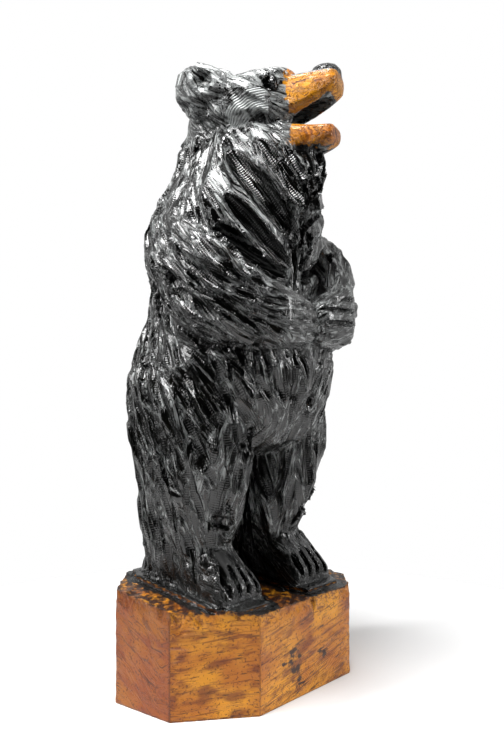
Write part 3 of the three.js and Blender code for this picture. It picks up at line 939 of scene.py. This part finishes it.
# %% What the two attributes give a material
# How far apart the patterns of two strokes lie.
STROKE_SHIFT = 57.0


def stroke_parts(tree):
    """The across, along and number outputs of the stroke attribute."""
    run = add(tree, "ShaderNodeAttribute", {"attribute_name": "saw_run"})
    return add(tree, "ShaderNodeSeparateXYZ", Vector=run.outputs["Vector"])


def finish_parts(tree):
    """The grey of worn paint and painted highlight as Red, the paint as Green, the dirt as Blue, and
    separately the strength of the arcs.
    """
    held = add(tree, "ShaderNodeAttribute", {"attribute_name": "finish_and_highlight"})
    return add(tree, "ShaderNodeSeparateColor", Color=held.outputs["Color"]), held.outputs["Alpha"]


def streaks(tree, stroke, width, length, detail=3.0):
    """Noise that is drawn out along the stroke, as wide and long as the given millimetres."""
    across = add(tree, "ShaderNodeMath", TIMES, _0=stroke.outputs["X"], _1=1 / (width * MM))
    along = add(tree, "ShaderNodeMath", TIMES, _0=stroke.outputs["Y"], _1=1 / (length * MM))
    number = add(tree, "ShaderNodeMath", TIMES, _0=stroke.outputs["Z"], _1=STROKE_SHIFT)
    place = add(tree, "ShaderNodeCombineXYZ", X=across, Y=along, Z=number)
    return add(tree, "ShaderNodeTexNoise", Vector=place, Scale=1.0, Detail=detail).outputs["Fac"]


def patches(tree, size, detail=3.0):
    """Plain noise with spots of the given size in millimetres."""
    place = add(tree, "ShaderNodeTexCoord").outputs["Object"]
    return add(tree, "ShaderNodeTexNoise", Vector=place, Scale=1 / (size * MM), Detail=detail).outputs["Fac"]


print("attributes on the skin:", [a.name for a in mesh.attributes if a.name in ("saw_run", "finish_and_highlight")])

# %% The relief that both finishes share
# The real fibres and specks are under a millimetre; they are drawn coarser, because the picture shows no less
# than about one and a half millimetres.
HAIR_WIDTH = 8
HAIR_LENGTH = 70
HAIR_DETAIL = 2.0
HAIR_SHARPNESS = 0.13
FIBRE_WIDTH = 2.8
FIBRE_LENGTH = 26
CHAIN_PITCH = 3.4
ARC_BEND = 18
GRAIN = 2.6


def chain_arcs(tree, stroke, strength):
    """Curved ripples across the stroke, one for each tooth of the chain, as strong as they show there."""
    x, y = stroke.outputs["X"], stroke.outputs["Y"]
    square = add(tree, "ShaderNodeMath", TIMES, _0=x, _1=x)
    bent = add(tree, "ShaderNodeMath", {"operation": "MULTIPLY_ADD"}, _0=square, _1=ARC_BEND, _2=y)
    turns = add(tree, "ShaderNodeMath", TIMES, _0=bent, _1=math.tau / (CHAIN_PITCH * MM))
    wave = add(tree, "ShaderNodeMath", {"operation": "SINE"}, _0=turns)
    return add(tree, "ShaderNodeMath", TIMES, _0=wave, _1=strength)


def hairs(tree, stroke):
    """Thin sharp ridges that run with the stroke, some millimetres apart."""
    wave = streaks(tree, stroke, HAIR_WIDTH, HAIR_LENGTH, HAIR_DETAIL)
    middle = add(tree, "ShaderNodeMath", {"operation": "SUBTRACT"}, _0=wave, _1=0.5)
    away = add(tree, "ShaderNodeMath", {"operation": "ABSOLUTE"}, _0=middle)
    return add(tree, "ShaderNodeMapRange", Value=away, From_Max=HAIR_SHARPNESS, To_Min=1.0, To_Max=0.0)


def relief(tree, stroke, strength, heights):
    """Bumps in a row, for hairs, fibres, arcs and grain, each as high as the given millimetres."""
    left = add(tree, "ShaderNodeMapRange", Value=strength, From_Min=0.3, From_Max=0.9, To_Min=1.0, To_Max=0.0)
    ragged = add(tree, "ShaderNodeMath", TIMES, _0=hairs(tree, stroke), _1=left)
    fibres = streaks(tree, stroke, FIBRE_WIDTH, FIBRE_LENGTH)
    arcs = chain_arcs(tree, stroke, strength)
    below = {}
    for pattern, height in zip([ragged, fibres, arcs, patches(tree, GRAIN)], heights):
        bump = add(tree, "ShaderNodeBump", Height=pattern, Distance=height * MM, **below)
        below = {"Normal": bump}
    return bump.outputs[0]


print("arcs of the chain every", CHAIN_PITCH, "mm")

# %% [markdown]
# ## Black paint
#
# Exterior paint, brushed over rough softwood: almost black, a little brown where it is thin, and glossy. Its
# ridges catch the brush last and wear first, and a painted highlight is drawn on them as grey, so they are
# greyer than the hollows. Gloss comes from a low roughness and a clear coat, and the grey follows the
# attribute, broken up into specks by the fibres.


# %% Black paint
def rubbed_and_highlit(tree, stroke, ridge, strength):
    """How grey the paint is drawn: worn paint and painted highlight on ridges, along single hairs, and on the
    marks of the chain.
    """
    hair = add(tree, "ShaderNodeMapRange", Value=hairs(tree, stroke), From_Min=0.65, To_Max=0.4)
    arcs = chain_arcs(tree, stroke, strength)
    tooth = add(tree, "ShaderNodeMapRange", Value=arcs, From_Min=0.3, From_Max=0.9, To_Max=0.5)
    # Worn paint and painted highlight: ridges, single hairs and the arcs of the chain are drawn grey.
    more = add(tree, "ShaderNodeMath", PLUS, _0=ridge, _1=hair)
    more = add(tree, "ShaderNodeMath", PLUS, _0=more, _1=tooth)
    fibres = streaks(tree, stroke, FIBRE_WIDTH, FIBRE_LENGTH, 5.0)
    specks = add(tree, "ShaderNodeMapRange", Value=fibres, From_Min=0.43, From_Max=0.57, To_Min=0.1)
    speckled = add(tree, "ShaderNodeMath", TIMES, _0=more, _1=specks)
    return add(tree, "ShaderNodeMapRange", Value=speckled, From_Min=0.22)


def black_paint_and_highlight(tree, grey):
    """The colour of the paint: black, brown where it is thin, grey where it is worn and where a highlight is
    painted.
    """
    thin = add(tree, "ShaderNodeMapRange", Value=patches(tree, 30), From_Min=0.5, From_Max=0.75, To_Max=0.7)
    body = add(tree, "ShaderNodeMix", COLOURS, _0=thin, _6=linear("#050504"), _7=linear("#0e0c08"))
    # The grey is worn paint and painted highlight in one colour.
    return add(tree, "ShaderNodeMix", COLOURS, _0=grey, _6=body.outputs[2], _7=linear("#a0a3a2")).outputs[2]


# Gives the eye deep black hollows, grey crests of worn paint and painted highlight, and long glints along the
# strokes.
paint = bpy.data.materials.new("gloss_black_paint_on_carved_pine")
paint.use_nodes = True
tree = paint.node_tree
shader = tree.nodes["Principled BSDF"]
stroke = stroke_parts(tree)
finish_and_highlight, strength = finish_parts(tree)
# The grey of worn paint and painted highlight.
grey = rubbed_and_highlit(tree, stroke, finish_and_highlight.outputs["Red"], strength)
tree.links.new(black_paint_and_highlight(tree, grey), shader.inputs["Base Color"])
gloss = add(tree, "ShaderNodeMapRange", Value=grey, To_Min=0.12, To_Max=0.42)
tree.links.new(gloss.outputs[0], shader.inputs["Roughness"])
tree.links.new(relief(tree, stroke, strength, (1.0, 0.14, 0.5, 0.04)), shader.inputs["Normal"])
shader.inputs["IOR"].default_value = 1.45
shader.inputs["Coat Weight"].default_value = 0.35
shader.inputs["Coat Roughness"].default_value = 0.08
print("nodes in the paint:", len(tree.nodes))

# %% [markdown]
# ## Honey stain
#
# Pine under an oil stain and a glossy clear coat. The stain sinks into torn fibre and into saw marks and
# turns them dark, and leaves the planed wood between them orange. The layers go on as they would on wood: the
# ground colour, broad reddish patches, thin streaks, small flecks, then dirt, and last the black paint.


# %% Honey stain
def darker(tree, wood, pattern, start, full, most, colour):
    """Lays a darker colour over the wood: none where the pattern starts, the most where it is full."""
    share = add(tree, "ShaderNodeMapRange", Value=pattern, From_Min=start, From_Max=full, To_Max=most)
    return add(tree, "ShaderNodeMix", COLOURS, _0=share, _6=wood, _7=linear(colour)).outputs[2]


# Gives the eye glossy orange wood with dark saw marks, knots and a dirty rim.
stain = bpy.data.materials.new("honey_stained_pine_under_clear_coat")
stain.use_nodes = True
tree = stain.node_tree
shader = tree.nodes["Principled BSDF"]
stroke = stroke_parts(tree)
finish_and_highlight, strength = finish_parts(tree)

# The lengths are millimetres: the size of a patch, or the width and the length of a streak.
wood = darker(tree, linear("#d68f1c"), patches(tree, 70, 6.0), 0.42, 0.62, 1.0, "#b06614")
wood = darker(tree, wood, streaks(tree, stroke, 14, 40, 10.0), 0.5, 0.64, 0.75, "#6a2c0e")
# The right side of the base, which has the lowest numbers, is drawn darker and redder.
wood = darker(tree, wood, stroke.outputs["Z"], 0.43, 0.41, 0.7, "#7c3416")
wood = darker(tree, wood, streaks(tree, stroke, 3.0, 60, 6.0), 0.57, 0.63, 0.6, "#4e1f0a")
wood = darker(tree, wood, streaks(tree, stroke, 2.2, 22, 4.0), 0.6, 0.66, 0.75, "#240d05")
wood = darker(tree, wood, patches(tree, 3.2), 0.58, 0.66, 0.7, "#4a2109")
spots = patches(tree, 9, 5.0)
uneven = add(tree, "ShaderNodeMapRange", Value=spots, From_Min=0.3, From_Max=0.7, To_Min=-0.5, To_Max=0.5)
dirty = add(tree, "ShaderNodeMath", PLUS, _0=finish_and_highlight.outputs["Blue"], _1=uneven)
wood = darker(tree, wood, dirty, 0.4, 0.8, 1.0, "#34190b")
spots = patches(tree, 7, 4.0)
uneven = add(tree, "ShaderNodeMapRange", Value=spots, From_Min=0.3, From_Max=0.7, To_Min=-0.35, To_Max=0.35)
brushed = add(tree, "ShaderNodeMath", PLUS, _0=finish_and_highlight.outputs["Green"], _1=uneven)
painted = add(tree, "ShaderNodeMapRange", Value=brushed, From_Min=0.45, From_Max=0.6)
# The paint keeps its grey of worn paint and painted highlight here too.
grey = rubbed_and_highlit(tree, stroke, finish_and_highlight.outputs["Red"], strength)
colour = add(tree, "ShaderNodeMix", COLOURS, _0=painted, _6=wood, _7=black_paint_and_highlight(tree, grey))
tree.links.new(colour.outputs[2], shader.inputs["Base Color"])
grain = streaks(tree, stroke, 3, 20)
gloss = add(tree, "ShaderNodeMapRange", Value=grain, From_Min=0.3, From_Max=0.7, To_Min=0.3, To_Max=0.6)
tree.links.new(gloss.outputs[0], shader.inputs["Roughness"])
tree.links.new(relief(tree, stroke, strength, (0.3, 0.3, 0.3, 0.06)), shader.inputs["Normal"])
shader.inputs["IOR"].default_value = 1.45
shader.inputs["Specular IOR Level"].default_value = 0.35
shader.inputs["Coat Weight"].default_value = 0.2
shader.inputs["Coat Roughness"].default_value = 0.12
print("nodes in the stain:", len(tree.nodes))

# %% [markdown]
# ## Which faces get which
#
# The stain's material also holds the paint, so that the edge between them can be ragged. A face gets it as
# soon as one of its corners is a little bare, and plain paint if not.

# %% Giving the faces their paint or stain
BARE_ENOUGH = 0.02

mesh.materials.clear()
mesh.materials.append(paint)
mesh.materials.append(stain)
corners = np.empty(len(mesh.loops), np.int32)
mesh.loops.foreach_get("vertex_index", corners)
starts = np.empty(len(mesh.polygons), np.int32)
mesh.polygons.foreach_get("loop_start", starts)
bared = np.maximum.reduceat(bare[corners], starts) > BARE_ENOUGH
mesh.polygons.foreach_set("material_index", bared.astype(np.int32))
mesh.update()
print("faces with the stain:", int(bared.sum()), "of", len(bared))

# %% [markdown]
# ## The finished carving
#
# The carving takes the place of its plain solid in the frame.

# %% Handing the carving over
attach(bear, "root")
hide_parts(SOLID)
